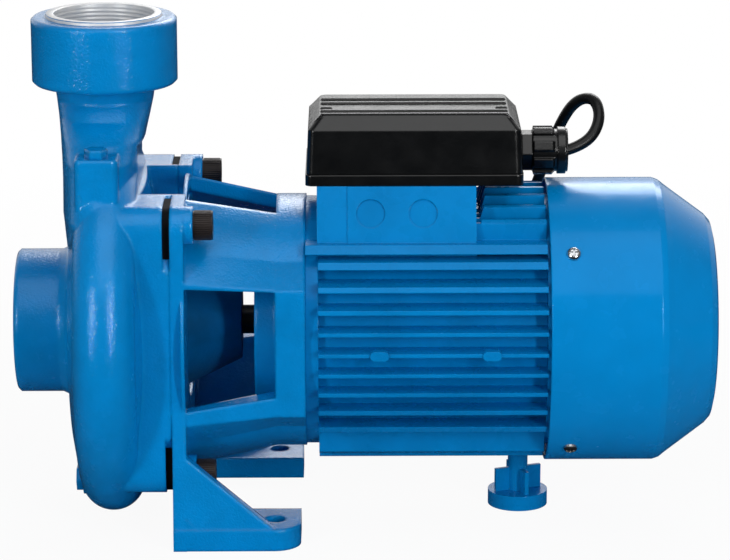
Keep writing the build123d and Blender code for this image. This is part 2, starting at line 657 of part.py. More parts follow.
def terminal_box_lid():
    """Lid of the terminal box, with drafted walls, a sloped border and raised ribs."""
    length = BOX_REAR - BOX_FRONT
    width = 2 * BOX_HALF

    def section(height, inset):
        outline = RectangleRounded(length - 2 * inset, width - 2 * inset, BOX_CORNER)
        return Pos(0, 0, height - BOX_PARTING) * outline

    walls = loft([section(BOX_PARTING, 0.6), section(BOX_SHOULDER, 1.6)], ruled=True)
    border = loft([section(BOX_SHOULDER, 1.6), section(BOX_TOP, 8.0)], ruled=True)
    lid = Pos((BOX_FRONT + BOX_REAR) / 2, 0, BOX_PARTING) * (walls + border)
    start = BOX_FRONT + 1.8
    end = BOX_REAR - 1.8
    for y in LID_RIBS:
        lid += lid_rib(y, start, end)
    short = LID_SHORT_LENGTH
    lid += lid_rib(LID_SHORT_RIB, start, start + short + 8)
    return lid + lid_rib(LID_SHORT_RIB, end - short - 8, end)


def gland_body():
    """Hexagon stub of the cable gland, screwed into the box."""
    hexagon = Pos(0, GLAND_HEIGHT - SHAFT_HEIGHT) * RegularPolygon(12, 6)
    body = slab(hexagon, BOX_REAR, GLAND_NUT[0])
    return body


def gland_nut():
    """Gland nut with raised grip bars and a plain rounded collar."""
    start, middle = GLAND_NUT
    rounding = 1.2
    body = rod(start, middle, GLAND_BASE_RADIUS, 0, GLAND_HEIGHT)
    body += rod(middle, GLAND_COLLAR_REAR - rounding, GLAND_RADIUS - 0.2, 0, GLAND_HEIGHT)
    body += rod(middle, GLAND_COLLAR_REAR, GLAND_RADIUS - 0.2 - rounding, 0, GLAND_HEIGHT)
    bar = Polyline((start + 0.5, 0, 10), (start + 0.5, 0, GLAND_RADIUS), (middle - 3, 0, GLAND_RADIUS),
                   (middle, 0, 10), close=True)
    bar = extrude(make_face(bar), GLAND_BAR_WIDTH / 2, dir=(0, 1, 0), both=True)
    for index in range(GLAND_BARS):
        body += Pos(0, 0, GLAND_HEIGHT) * Rot(360 / GLAND_BARS * (index + 0.5), 0, 0) * bar
    return body


def drain_plug():
    """Hexagon drain plug low on the front of the casing."""
    head = slab(Pos(0, DRAIN_HEIGHT - SHAFT_HEIGHT) * RegularPolygon(7.5, 6), DRAIN_FACE - 4, DRAIN_FACE)
    return head + rod(DRAIN_FACE, DRAIN_FACE + 9, DRAIN_SHANK, 0, DRAIN_HEIGHT)


def rear_foot():
    """Screwed foot under the rear of the motor."""
    body = column(0, REAR_FOOT_RIM, REAR_FOOT_RADIUS, REAR_FOOT_STATION)
    body += column(0, SHAFT_HEIGHT - FIN_TIP_RADIUS, REAR_FOOT_STEM, REAR_FOOT_STATION)
    for angle in (20, 110):
        rib = Pos(REAR_FOOT_STATION, 0, 15) * Rot(0, 0, angle) * Box(28, 2.5, 14)
        body += rib
    return body


def bend_radii(route):
    """Largest arc at each inner point of a route that leaves 0.45 of its shorter run."""
    points = [Vector(*point) for point in route]
    radii = []
    for before, here, after in zip(points, points[1:], points[2:]):
        arriving = here - before
        leaving = after - here
        turn = radians(arriving.get_angle(leaving))
        radii.append(0.45 * min(arriving.length, leaving.length) / tan(turn / 2))
    return radii


def cable_tube(name, route):
    """Round cable along straight runs joined by tangent arcs; prints its radii and length."""
    radii = bend_radii(route)
    path = FilletPolyline(*route, radius=radii)
    start = Plane(origin=path @ 0, z_dir=path % 0)
    tube = sweep(start * Circle(CABLE_DIAMETER / 2), path=path)
    expected = pi * CABLE_DIAMETER ** 2 / 4 * path.length
    print(name, "radii", [round(r, 1) for r in radii], "length", round(path.length, 1),
          "volume ratio", round(tube.volume / expected, 4))
    return tube


def supply_cable():
    """Cable from the gland, over its loop and down behind the motor to the coil."""
    return cable_tube("supply_cable", SUPPLY_ROUTE)


def cable_tail():
    """Cable from the coil to the plug."""
    return cable_tube("cable_tail", TAIL_ROUTE)


def cable_coil():
    """Outer shape of the coiled cable: a ring two turns wide and two turns high."""
    inner = COIL_RADIUS - CABLE_DIAMETER
    outer = COIL_RADIUS + CABLE_DIAMETER
    ring = column(0, 2 * CABLE_DIAMETER, outer) - column(-1, 2 * CABLE_DIAMETER + 1, inner)
    ring = fillet(ring.edges().filter_by(GeomType.CIRCLE), CABLE_DIAMETER * 0.45)
    return Pos(COIL_X, COIL_Y, 0.1) * ring


def cable_plug():
    """Moulded two-pin plug that lies on the floor at the cable's end."""
    end = Vector(*TAIL_ROUTE[-1])
    heading = (end - Vector(*TAIL_ROUTE[-2])).normalized()
    plane = Plane(origin=end, x_dir=(-heading.Y, heading.X, 0), z_dir=heading)
    collar = extrude(plane * Circle(3.35), 1)
    rise = PLUG_RADIUS - end.Z + 0.1
    grip = loft([plane.offset(1) * Pos(0, 0) * Circle(3.35),
                 plane.offset(16) * Pos(0, rise) * Circle(PLUG_RADIUS - 4),
                 plane.offset(30) * Pos(0, rise) * Circle(PLUG_RADIUS)])
    body = collar + grip + extrude(plane.offset(30) * Pos(0, rise) * Circle(PLUG_RADIUS), 8)
    for side in (-1, 1):
        pin = extrude(plane.offset(37) * Pos(side * PLUG_PIN_SPACING / 2, rise) * Circle(2.4), 20)
        body += pin
    return body


def write(name, shape):
    """Write one node, moved so that the origin lies between the foot bolts."""
    export_step(Pos(-FOOT_HOLE_STATION, 0, 0) * shape, f"parts/{name}.step")


def main():
    os.makedirs("parts", exist_ok=True)
    write("volute_casing", volute_casing())
    write("drain_plug", drain_plug())
    write("priming_plug", priming_plug())
    write("seal_housing", seal_housing())
    write("shaft_seal", shaft_seal())
    write("impeller", impeller())
    write("impeller_nut", impeller_nut())
    write("pump_shaft", pump_shaft())
    write("lantern_bracket", lantern_bracket())
    for number, (y, z) in enumerate(corners(), start=1):
        write(f"casing_bolt_{number}", casing_bolt(y, z))
    write("motor_housing", motor_housing())
    write("rear_end_shield", rear_end_shield())
    write("fan_cover", fan_cover())
    for number, (y, z, angle) in enumerate(cover_screw_places(), start=1):
        write(f"fan_cover_screw_{number}", cover_screw(y, z, angle))
    write("cooling_fan", cooling_fan())
    write("terminal_box_base", terminal_box_base())
    write("terminal_box_lid", terminal_box_lid())
    write("gland_body", gland_body())
    write("gland_nut", gland_nut())
    write("rear_foot", rear_foot())
    write("supply_cable", supply_cable())
    write("cable_coil", cable_coil())
    write("cable_tail", cable_tail())
    write("cable_plug", cable_plug())


main()
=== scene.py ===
import json
import logging
import math
from dataclasses import dataclass, field
from enum import Enum
from typing import Any, Optional, Sequence

import bmesh
import bpy
from mathutils import Matrix, Vector

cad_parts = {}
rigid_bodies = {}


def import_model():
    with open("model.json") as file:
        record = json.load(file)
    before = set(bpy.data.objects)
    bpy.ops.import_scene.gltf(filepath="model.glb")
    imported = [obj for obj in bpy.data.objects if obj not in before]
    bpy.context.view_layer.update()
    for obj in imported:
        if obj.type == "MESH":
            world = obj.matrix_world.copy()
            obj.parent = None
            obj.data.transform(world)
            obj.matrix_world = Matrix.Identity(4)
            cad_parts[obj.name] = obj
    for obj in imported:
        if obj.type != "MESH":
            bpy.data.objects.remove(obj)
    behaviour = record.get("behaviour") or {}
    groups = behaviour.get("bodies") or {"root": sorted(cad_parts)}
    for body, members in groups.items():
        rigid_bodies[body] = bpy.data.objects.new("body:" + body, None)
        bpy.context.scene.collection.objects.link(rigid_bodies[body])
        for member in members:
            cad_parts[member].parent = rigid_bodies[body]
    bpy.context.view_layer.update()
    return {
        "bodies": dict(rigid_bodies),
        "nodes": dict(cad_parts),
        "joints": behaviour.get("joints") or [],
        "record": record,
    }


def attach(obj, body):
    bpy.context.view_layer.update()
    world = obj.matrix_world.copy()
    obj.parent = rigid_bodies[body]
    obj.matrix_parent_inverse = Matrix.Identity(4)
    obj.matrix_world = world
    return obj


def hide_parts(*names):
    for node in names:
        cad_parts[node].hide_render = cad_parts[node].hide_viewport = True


LOG = logging.getLogger("surface_pump")
MM = 0.001

# Places in the frame are metres from the middle of the two foot bolts. A station is a distance
# along the shaft from the discharge port's axis, which lies this far in front of the foot bolts.
DISCHARGE_AXIS_X = -0.096
SHAFT_HEIGHT = 0.1111

Point = tuple[float, float, float]


def along(station_mm: float) -> float:
    """Frame X of a station along the shaft, given in millimetres."""
    return DISCHARGE_AXIS_X + station_mm * MM


def linear(hex_code: str) -> tuple[float, float, float, float]:
    """Turn an sRGB hex colour into the linear colour that a shader takes.

    Args:
        hex_code: six hex digits, red first, with or without a leading hash.

    Returns:
        Linear red, green, blue and an alpha of one.
    """
    digits = hex_code.lstrip("#")
    parts = [int(digits[index:index + 2], 16) / 255 for index in (0, 2, 4)]
    curve = [p / 12.92 if p <= 0.04045 else ((p + 0.055) / 1.055) ** 2.4 for p in parts]
    return (curve[0], curve[1], curve[2], 1.0)


def add_node(
    tree: bpy.types.NodeTree,
    kind: str,
    settings: Optional[dict[str, Any]] = None,
    inputs: Optional[dict[Any, Any]] = None,
) -> bpy.types.Node:
    """Add one node to a tree, with its settings, its input values and its links.

    Args:
        tree: the shader or geometry tree.
        kind: the node's type name.
        settings: attributes of the node itself.
        inputs: input name or index to a value, or to an output socket to link from.

    Returns:
        The new node.
    """
    node = tree.nodes.new(kind)
    for name, value in (settings or {}).items():
        setattr(node, name, value)
    for key, value in (inputs or {}).items():
        if isinstance(value, bpy.types.NodeSocket):
            tree.links.new(value, node.inputs[key])
        else:
            node.inputs[key].default_value = value
    return node


EDGE_SAMPLES = 12
# Turning marks run round the axis, so their noise is drawn out across it.
TURNED_STRETCH = (0.15, 0.15, 3.0)


class Scatter(Enum):
    """How a finish breaks up light: smooth, or with the grain of what made the surface."""

    SMOOTH = "smooth"
    ORANGE_PEEL = "orange_peel"
    SAND_CAST = "sand_cast"
    TURNED = "turned"
    MOULD_GRAIN = "mould_grain"


@dataclass(frozen=True)
class Finish:
    """A surface finish of the real object, as the values that its shader takes.

    Sizes of patterns are in millimetres on the object.
    """

    name: str
    colour: str
    shade: str
    roughness: float
    metallic: float = 0.0
    coat: float = 0.0
    coat_roughness: float = 0.05
    specular: float = 0.5
    gloss_tint: str = "#FFFFFF"
    edge_mm: float = 0.0
    scatter: Scatter = Scatter.SMOOTH
    grain_mm: float = 1.5
    bump_mm: float = 0.02
    mottle_mm: float = 30.0
    roughness_spread: float = 0.05

    def material(self) -> bpy.types.Material:
        """Return this finish's material, built on first use."""
        known = bpy.data.materials.get(self.name)
        if known is not None:
            return known
        made = bpy.data.materials.new(self.name)
        made.use_nodes = True
        tree = made.node_tree
        tree.nodes.clear()
        place = add_node(tree, "ShaderNodeTexCoord").outputs["Object"]
        shader = add_node(tree, "ShaderNodeBsdfPrincipled", inputs={
            "Metallic": self.metallic,
            "Coat Weight": self.coat,
            "Coat Roughness": self.coat_roughness,
            "Specular IOR Level": self.specular,
            "Specular Tint": linear(self.gloss_tint),
        })
        self._colour(tree, place, shader)
        self._roughness(tree, place, shader)
        self._relief(tree, place, shader)
        add_node(tree, "ShaderNodeOutputMaterial", inputs={"Surface": shader.outputs[0]})
        made.diffuse_color = linear(self.colour)
        return made

    def _colour(self, tree: bpy.types.NodeTree, place: Any, shader: bpy.types.Node) -> None:
        """Mix the colour with its shade in broad, faint patches."""
        patches = add_node(tree, "ShaderNodeTexNoise", inputs={
            "Vector": place, "Scale": 1 / (self.mottle_mm * MM), "Detail": 3.0, "Roughness": 0.6})
        spread = add_node(tree, "ShaderNodeMapRange", inputs={
            "Value": patches.outputs["Fac"], "From Min": 0.35, "From Max": 0.7})
        mixed = add_node(tree, "ShaderNodeMix", {"data_type": "RGBA"}, {
            0: spread.outputs[0], 6: linear(self.colour), 7: linear(self.shade)})
        tree.links.new(mixed.outputs[2], shader.inputs["Base Color"])

    def _roughness(self, tree: bpy.types.NodeTree, place: Any, shader: bpy.types.Node) -> None:
        """Vary the roughness a little over the surface."""
        smears = add_node(tree, "ShaderNodeTexNoise", inputs={
            "Vector": place, "Scale": 1 / (12 * MM), "Detail": 4.0})
        low = max(0.02, self.roughness - self.roughness_spread)
        high = min(1.0, self.roughness + self.roughness_spread)
        spread = add_node(tree, "ShaderNodeMapRange", inputs={
            "Value": smears.outputs["Fac"], "From Min": 0.3, "From Max": 0.7,
            "To Min": low, "To Max": high})
        tree.links.new(spread.outputs[0], shader.inputs["Roughness"])

    def _relief(self, tree: bpy.types.NodeTree, place: Any, shader: bpy.types.Node) -> None:
        """Round the edges to the eye and add the fine relief that making the surface left."""
        normal = None
        if self.edge_mm > 0:
            normal = add_node(tree, "ShaderNodeBevel", {"samples": EDGE_SAMPLES}, {
                "Radius": self.edge_mm * MM}).outputs[0]
        if self.scatter is not Scatter.SMOOTH:
            stretch = TURNED_STRETCH if self.scatter is Scatter.TURNED else (1.0, 1.0, 1.0)
            laid = add_node(tree, "ShaderNodeMapping", inputs={"Vector": place, "Scale": stretch})
            grain = add_node(tree, "ShaderNodeTexNoise", inputs={
                "Vector": laid.outputs[0], "Scale": 1 / (self.grain_mm * MM),
                "Detail": 2.0, "Roughness": 0.55})
            bump = add_node(tree, "ShaderNodeBump", inputs={
                "Height": grain.outputs["Fac"], "Strength": 1.0, "Distance": self.bump_mm * MM})
            if normal is not None:
                tree.links.new(normal, bump.inputs["Normal"])
            normal = bump.outputs[0]
        if normal is not None:
            tree.links.new(normal, shader.inputs["Normal"])
            tree.links.new(normal, shader.inputs["Coat Normal"])


# The enamel's own reflection is blue, so that its flats stay as deep as the real paint.
ENAMEL_GLOSS = "#55A6E4"
# Cast iron under thick gloss enamel: the sand's grain shows through as sparkling orange peel.
CAST_ENAMEL = Finish(
    "gloss_enamel_on_cast_iron", "#0082C8", "#0078B9", 0.24, coat=0.45, coat_roughness=0.06,
    gloss_tint=ENAMEL_GLOSS, edge_mm=3.0, scatter=Scatter.SAND_CAST, grain_mm=1.3, bump_mm=0.27)
# The casing's back cover, seen through the lantern's windows: the same enamel, duller, with its colour
# darkened as painted shade for the lantern's dark inside.
SHADE_DARKENED_ENAMEL = Finish(
    "enamel_darkened_as_painted_shade", "#005A92", "#004672", 0.5, specular=0.3, gloss_tint=ENAMEL_GLOSS,
    edge_mm=1.0, scatter=Scatter.SAND_CAST, grain_mm=1.6, bump_mm=0.15)
# Die-cast aluminium under gloss enamel: nearly smooth, with a faint waviness.
MOTOR_ENAMEL = Finish(
    "gloss_enamel_on_aluminium", "#007CC0", "#0072B2", 0.28, coat=0.10, coat_roughness=0.12,
    gloss_tint=ENAMEL_GLOSS, edge_mm=0.8, scatter=Scatter.ORANGE_PEEL, grain_mm=2.5, bump_mm=0.02)
# Pressed sheet steel under gloss enamel: the smoothest paint on the object.
COVER_ENAMEL = Finish(
    "gloss_enamel_on_sheet_steel", "#0082C8", "#007DC1", 0.24, coat=0.10, coat_roughness=0.10,
    gloss_tint=ENAMEL_GLOSS, edge_mm=1.5, scatter=Scatter.ORANGE_PEEL, grain_mm=3.0, bump_mm=0.01)
# Face-turned iron of the port lips and threads, left bare and pale.
TURNED_IRON = Finish(
    "turned_bare_cast_iron", "#E2E1E0", "#CCD0D4", 0.42, metallic=0.25, mottle_mm=14.0,
    edge_mm=0.4, scatter=Scatter.TURNED, grain_mm=0.8, bump_mm=0.01)
# Black sheet in the gap of the joint between casing and lantern: painted shade where the gap lies in shadow.
JOINT_GAP_SHADE = Finish("painted_shade_in_joint_gap", "#06080A", "#040506", 0.8, specular=0.15)
# Socket-head bolts with a hot black-oxide finish: dark brown with a dull sheen.
BLACK_OXIDE = Finish(
    "black_oxide_on_steel", "#2E2725", "#1F1A19", 0.40, metallic=0.35, specular=0.35, edge_mm=0.4,
    scatter=Scatter.ORANGE_PEEL, grain_mm=0.8, bump_mm=0.03)
# Bright zinc or chrome plate on the small screws.
CHROME_PLATE = Finish(
    "bright_plate_on_steel", "#D8DADC", "#B9BCC0", 0.18, metallic=1.0, mottle_mm=4.0)
# Shaft steel with a dark phosphate coat.
SHAFT_STEEL = Finish(
    "phosphated_steel", "#1C1E21", "#121316", 0.42, metallic=0.5,
    scatter=Scatter.TURNED, grain_mm=0.6, bump_mm=0.01)
# Cast brass of the impeller.
CAST_BRASS = Finish(
    "sand_cast_brass", "#B98F4A", "#9F7838", 0.42, metallic=1.0,
    scatter=Scatter.SAND_CAST, grain_mm=1.2, bump_mm=0.06)
# Rubber bellows and carbon ring of the shaft seal.
SEAL_RUBBER = Finish("moulded_nitrile_rubber", "#1C1C1D", "#141415", 0.6, specular=0.4)
# Injection-moulded fan, matt.
FAN_PLASTIC = Finish("moulded_polypropylene", "#1B1C1E", "#151617", 0.5, specular=0.4)
# Injection-moulded ABS of the terminal box, satin with a fine spark-eroded grain.
BOX_PLASTIC = Finish(
    "satin_moulded_abs", "#0B0C0D", "#08090A", 0.22, specular=0.55, edge_mm=1.4,
    scatter=Scatter.MOULD_GRAIN, grain_mm=0.9, bump_mm=0.04)
# Rubber sheath of the supply cable.
CABLE_SHEATH = Finish(
    "rubber_cable_sheath", "#0A0B0C", "#070808", 0.36, specular=0.3,
    scatter=Scatter.MOULD_GRAIN, grain_mm=0.7, bump_mm=0.02)


@dataclass
class Dressing:
    """Which finish each carried-over node of the frame takes."""

    cast: Sequence[str] = ("volute_casing", "drain_plug", "priming_plug", "lantern_bracket")
    # The back cover takes an enamel whose colour is darkened as painted shade.
    inside: Sequence[str] = ("seal_housing",)
    motor: Sequence[str] = ("motor_housing", "rear_end_shield", "rear_foot")
    cover: Sequence[str] = ("fan_cover",)
    bolts: Sequence[str] = ("casing_bolt_1", "casing_bolt_2", "casing_bolt_3", "casing_bolt_4")
    plated: Sequence[str] = (
        "fan_cover_screw_1", "fan_cover_screw_2", "fan_cover_screw_3", "fan_cover_screw_4")
    steel: Sequence[str] = ("pump_shaft", "impeller_nut")
    brass: Sequence[str] = ("impeller",)
    rubber: Sequence[str] = ("shaft_seal",)
    fan: Sequence[str] = ("cooling_fan",)
    box: Sequence[str] = (
        "terminal_box_base", "terminal_box_lid", "gland_body", "gland_nut", "cable_plug")

    def pairs(self) -> list[tuple[Sequence[str], Finish]]:
        """Return each group of nodes with its finish."""
        return [
            (self.cast, CAST_ENAMEL), (self.inside, SHADE_DARKENED_ENAMEL), (self.motor, MOTOR_ENAMEL),
            (self.cover, COVER_ENAMEL), (self.bolts, BLACK_OXIDE), (self.plated, CHROME_PLATE),
            (self.steel, SHAFT_STEEL),
            (self.brass, CAST_BRASS), (self.rubber, SEAL_RUBBER), (self.fan, FAN_PLASTIC),
            (self.box, BOX_PLASTIC),
        ]

    def dress(self, frame: dict[str, Any]) -> None:
        """Give every node of the frame its finish.
        """
        for names, finish in self.pairs():
            for name in names:
                wear(frame["nodes"][name], finish)
        LOG.info("dressed %d groups of nodes", len(self.pairs()))


def wear(thing: bpy.types.Object, finish: Finish) -> None:
    """Put one finish on an object's only material slot."""
    thing.data.materials.clear()
    thing.data.materials.append(finish.material())


def finished_mesh(name: str, mesh: bpy.types.Mesh, finish: Finish) -> bpy.types.Object:
    """Make a piece of the pump's fixed body from a mesh that is already in place.

    Args:
        name: name of the piece.
        mesh: its mesh, in metres in the frame.
        finish: what it is dressed in.

    Returns:
        The piece, riding on the pump's body.
    """
    piece = bpy.data.objects.new(name, mesh)
    bpy.context.scene.collection.objects.link(piece)
    wear(piece, finish)
    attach(piece, "pump_body")
    LOG.info("%s with %d faces", name, len(mesh.polygons))
    return piece


@dataclass
class PortThread:
    """Bare turned iron of one threaded port: its thread, its chamfer and its lip."""

    name: str
    mouth: Point
    outward: Point
    lip_radius: float
    lip_height: float
    bore: float = 0.0283
    pitch: float = 0.00231
    depth: float = 0.00035
    length: float = 0.0245
    steps: int = 96
    rows_per_turn: int = 6
    proud: float = 0.00008

    def radius_at(self, deep: float, turn: float) -> float:
        """Radius of the thread at a depth below the mouth and a share of a full turn."""
        phase = (deep / self.pitch + turn) % 1.0
        ridge = 1.0 - abs(2.0 * phase - 1.0)
        lead_in = min(1.0, deep / (1.5 * self.pitch))
        return self.bore - self.proud - self.depth * ridge * lead_in

    def rings(self) -> list[list[tuple[float, float]]]:
        """Rings of (radius, height above the mouth), from the foot of the lip to the thread's end."""
        rings = [[(self.lip_radius + self.proud, -self.lip_height)] * self.steps] if self.lip_height else []
        rim = 0.0005
        rings.append([(self.lip_radius + self.proud, self.proud - rim)] * self.steps)
        rings.append([(self.lip_radius - rim, self.proud)] * self.steps)
        rings.append([(self.bore + rim, self.proud)] * self.steps)
        rows = int(self.length / self.pitch * self.rows_per_turn)
        for row in range(rows + 1):
            deep = self.length * row / rows
            rings.append([(self.radius_at(deep, step / self.steps), -deep) for step in range(self.steps)])
        return rings

    def build(self) -> bpy.types.Object:
        """Make the turned surface as one mesh around the port's axis."""
        rings = self.rings()
        turn = Vector(self.outward).to_track_quat("Z", "Y").to_matrix()
        made = bmesh.new()
        rows = []
        for ring in rings:
            row = []
            for step, (radius, height) in enumerate(ring):
                angle = 2 * math.pi * step / self.steps
                local = Vector((radius * math.cos(angle), radius * math.sin(angle), height))
                row.append(made.verts.new(turn @ local + Vector(self.mouth)))
            rows.append(row)
        for upper, lower in zip(rows, rows[1:]):
            for step in range(self.steps):
                after = (step + 1) % self.steps
                made.faces.new((upper[step], upper[after], lower[after], lower[step]))
        for face in made.faces:
            face.smooth = True
        mesh = bpy.data.meshes.new(self.name)
        made.to_mesh(mesh)
        made.free()
        return finished_mesh(self.name, mesh, TURNED_IRON)


PORTS = (
    PortThread("discharge_port_thread", (along(0.6), 0.0, 0.2898), (0, 0, 1), 0.0327, 0.0019),
    PortThread("suction_port_thread", (along(-51.4), 0.0, SHAFT_HEIGHT), (-1, 0, 0), 0.0325, 0.0),
)


def new_tree(name: str, sizes: dict[str, float], count: dict[str, int]) -> bpy.types.NodeTree:
    """Start a geometry tree with a mesh input and named size inputs.

    Args:
        name: name of the tree.
        sizes: named lengths and their defaults.
        count: named whole numbers and their defaults.

    Returns:
        The tree, with its group input and group output nodes in place.
    """
    tree = bpy.data.node_groups.new(name, "GeometryNodeTree")
    tree.interface.new_socket("Geometry", in_out="INPUT", socket_type="NodeSocketGeometry")
    for label, value in sizes.items():
        tree.interface.new_socket(label, in_out="INPUT", socket_type="NodeSocketFloat").default_value = value
    for label, number in count.items():
        tree.interface.new_socket(label, in_out="INPUT", socket_type="NodeSocketInt").default_value = number
    tree.interface.new_socket("Geometry", in_out="OUTPUT", socket_type="NodeSocketGeometry")
    return tree


def baked(name: str, carrier: bpy.types.Mesh, tree: bpy.types.NodeTree,
          values: dict[str, Any]) -> bpy.types.Mesh:
    """Run a geometry tree on a mesh and return the result as a plain mesh.

    Args:
        name: name of the result.
        carrier: mesh that the tree starts from.
        tree: the geometry tree.
        values: input name to value, for inputs that differ from their defaults.

    Returns:
        The plain mesh, with nothing live left on it.
    """
    carrier_object = bpy.data.objects.new(name + "_carrier", carrier)
    bpy.context.scene.collection.objects.link(carrier_object)
    modifier = carrier_object.modifiers.new(name, "NODES")
    modifier.node_group = tree
    for item in tree.interface.items_tree:
        if item.item_type == "SOCKET" and item.in_out == "INPUT" and item.name in values:
            modifier[item.identifier] = values[item.name]
    graph = bpy.context.evaluated_depsgraph_get()
    result = bpy.data.meshes.new_from_object(carrier_object.evaluated_get(graph), depsgraph=graph)
    result.name = name
    carrier_object.modifiers.clear()
    bpy.data.objects.remove(carrier_object)
    return result


@dataclass
class BoltKnurls:
    """Straight knurling round the socket heads of the four casing bolts."""

    head_radius: float = 0.008
    head_start: float = 52.9
    head_end: float = 62.2
    teeth: int = 40
    bolt_y: float = 0.0657
    bolt_z: float = 0.0717

    def tree(self) -> bpy.types.NodeTree:
        """Geometry tree: one ring of teeth at each point of the carrier, drawn out along X."""
        tree = new_tree("straight_knurl", {"Head Radius": self.head_radius, "Tooth Length": 0.01}, {
            "Teeth": self.teeth})
        given = add_node(tree, "NodeGroupInput")
        ring = add_node(tree, "GeometryNodeMeshCircle", inputs={
            "Vertices": given.outputs["Teeth"], "Radius": given.outputs["Head Radius"]})
        size = add_node(tree, "ShaderNodeCombineXYZ", inputs={
            "X": 0.00055, "Y": 0.00075, "Z": given.outputs["Tooth Length"]})
        tooth = add_node(tree, "GeometryNodeMeshCube", inputs={"Size": size.outputs[0]})
        spot = add_node(tree, "GeometryNodeInputPosition")
        outward = add_node(tree, "FunctionNodeAlignEulerToVector", {"axis": "X"}, {
            "Vector": spot.outputs[0]})
        teeth = add_node(tree, "GeometryNodeInstanceOnPoints", inputs={
            "Points": ring.outputs[0], "Instance": tooth.outputs[0], "Rotation": outward.outputs[0]})
        heads = add_node(tree, "GeometryNodeInstanceOnPoints", inputs={
            "Points": given.outputs["Geometry"], "Instance": teeth.outputs[0],
            "Rotation": (0.0, math.pi / 2, 0.0)})
        solid = add_node(tree, "GeometryNodeRealizeInstances", inputs={"Geometry": heads.outputs[0]})
        dressed = add_node(tree, "GeometryNodeSetMaterial", inputs={
            "Geometry": solid.outputs[0], "Material": BLACK_OXIDE.material()})
        add_node(tree, "NodeGroupOutput", inputs={"Geometry": dressed.outputs[0]})
        return tree

    def build(self) -> bpy.types.Object:
        """Make the knurling of all four heads as one piece."""
        middle = along((self.head_start + self.head_end) / 2)
        points = [(middle, sy * self.bolt_y, SHAFT_HEIGHT + sz * self.bolt_z)
                  for sy in (-1, 1) for sz in (-1, 1)]
        carrier = bpy.data.meshes.new("bolt_heads")
        carrier.from_pydata(points, [], [])
        length = (self.head_end - self.head_start) * MM
        mesh = baked("casing_bolt_knurls", carrier, self.tree(), {"Tooth Length": length})
        return finished_mesh("casing_bolt_knurls", mesh, BLACK_OXIDE)


@dataclass
class JointGapShade:
    """Black sheets in the four corners of the joint's gap between casing and lantern: painted shade that
    makes the gap show as a black line.
    """

    start: float = 35.4
    end: float = 39.3
    side: float = 73.5
    top: float = 81.2
    corner: float = 9.0
    ring_radius: float = 91.4
    hole: float = 5.4
    bolt: tuple[float, float] = (65.7, 71.7)
    steps: int = 10

    def outline(self) -> list[tuple[float, float]]:
        """Outline of the upper right corner, as (y, z) in millimetres from the shaft axis."""
        points = []
        for step in range(self.steps + 1):
            angle = math.pi / 2 * (1 - step / self.steps)
            points.append((self.side - self.corner + self.corner * math.cos(angle),
                           self.top - self.corner + self.corner * math.sin(angle)))
        low = math.acos(self.side / self.ring_radius)
        high = math.asin(self.top / self.ring_radius)
        for step in range(self.steps + 1):
            angle = low + (high - low) * step / self.steps
            points.append((self.ring_radius * math.cos(angle), self.ring_radius * math.sin(angle)))
        return points

    def hole_line(self) -> list[tuple[float, float]]:
        """Outline of the bolt hole in the upper right corner."""
        turns = [2 * math.pi * step / (2 * self.steps) for step in range(2 * self.steps)]
        return [(self.bolt[0] + self.hole * math.cos(t), self.bolt[1] + self.hole * math.sin(t))
                for t in turns]

    def build(self) -> bpy.types.Object:
        """Make the four corners as one piece."""
        made = bmesh.new()
        for sy in (-1, 1):
            for sz in (-1, 1):
                faces = []
                for station in (self.start, self.end):
                    loops = [[made.verts.new((along(station), sy * y * MM, SHAFT_HEIGHT + sz * z * MM))
                              for y, z in line] for line in (self.outline(), self.hole_line())]
                    edges = [made.edges.new((loop[i - 1], loop[i])) for loop in loops
                             for i in range(len(loop))]
                    bmesh.ops.triangle_fill(made, edges=edges, use_beauty=True)
                    faces.append(loops)
                for front, rear in zip(*faces):
                    for i in range(len(front)):
                        made.faces.new((front[i - 1], front[i], rear[i], rear[i - 1]))
        bmesh.ops.recalc_face_normals(made, faces=made.faces)
        mesh = bpy.data.meshes.new("flange_joint_corners")
        made.to_mesh(mesh)
        made.free()
        return finished_mesh("flange_joint_corners", mesh, JOINT_GAP_SHADE)


